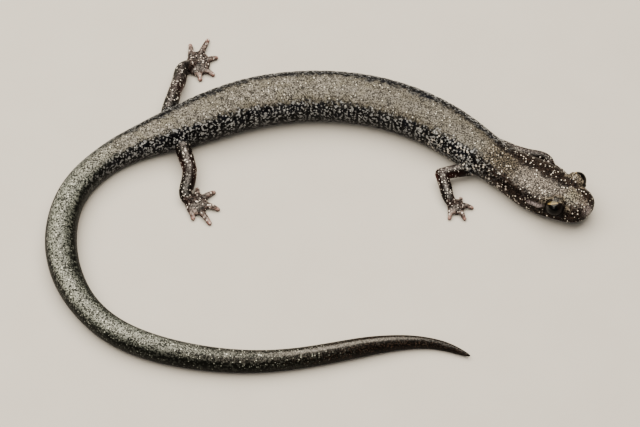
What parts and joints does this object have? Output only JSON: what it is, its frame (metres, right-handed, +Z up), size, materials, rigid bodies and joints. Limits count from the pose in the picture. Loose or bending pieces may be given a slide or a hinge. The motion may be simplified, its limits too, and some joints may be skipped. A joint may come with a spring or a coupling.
{
  "type": "valley and ridge salamander",
  "caption": "Life-size still model of a slender dark salamander lying in an open curve, frosted along the back, with short legs, bulging eyes and a long tapering tail.",
  "frame": {"origin": "on the floor, below the middle of the whole animal's box", "axes": "+X to the right of the picture, the side the head is on; +Y away from the camera; +Z up"},
  "size_m": [0.0544, 0.0442, 0.0046],
  "materials": {
    "skin_back": "moist smooth skin, black ground under dense pale silvery flecks along the back",
    "skin_tail": "moist smooth skin, black with a paler grey-green top",
    "skin_limb": "moist brown-black skin with pale flecks",
    "skin_foot": "moist grey-brown skin, paler at the toes",
    "eye": "wet black eye with a brassy iris"
  },
  "bodies": {
    "root": {"head": "skin_back", "neck": "skin_back", "chest": "skin_back", "trunk_front": "skin_back", "trunk_middle": "skin_back", "trunk_rear": "skin_back", "hips": "skin_back", "tail_base": "skin_tail", "tail_upper": "skin_tail", "tail_bend": "skin_tail", "tail_middle": "skin_tail", "tail_lower": "skin_tail", "tail_end": "skin_tail", "tail_tip": "skin_tail", "upper_arm_right": "skin_limb", "forearm_right": "skin_limb", "hand_right": "skin_foot", "upper_arm_left": "skin_limb", "forearm_left": "skin_limb", "hand_left": "skin_foot", "thigh_right": "skin_limb", "shin_right": "skin_limb", "foot_right": "skin_foot", "thigh_left": "skin_limb", "shin_left": "skin_limb", "foot_left": "skin_foot", "eye_right": "eye", "eye_left": "eye"}
  },
  "joints": []
}
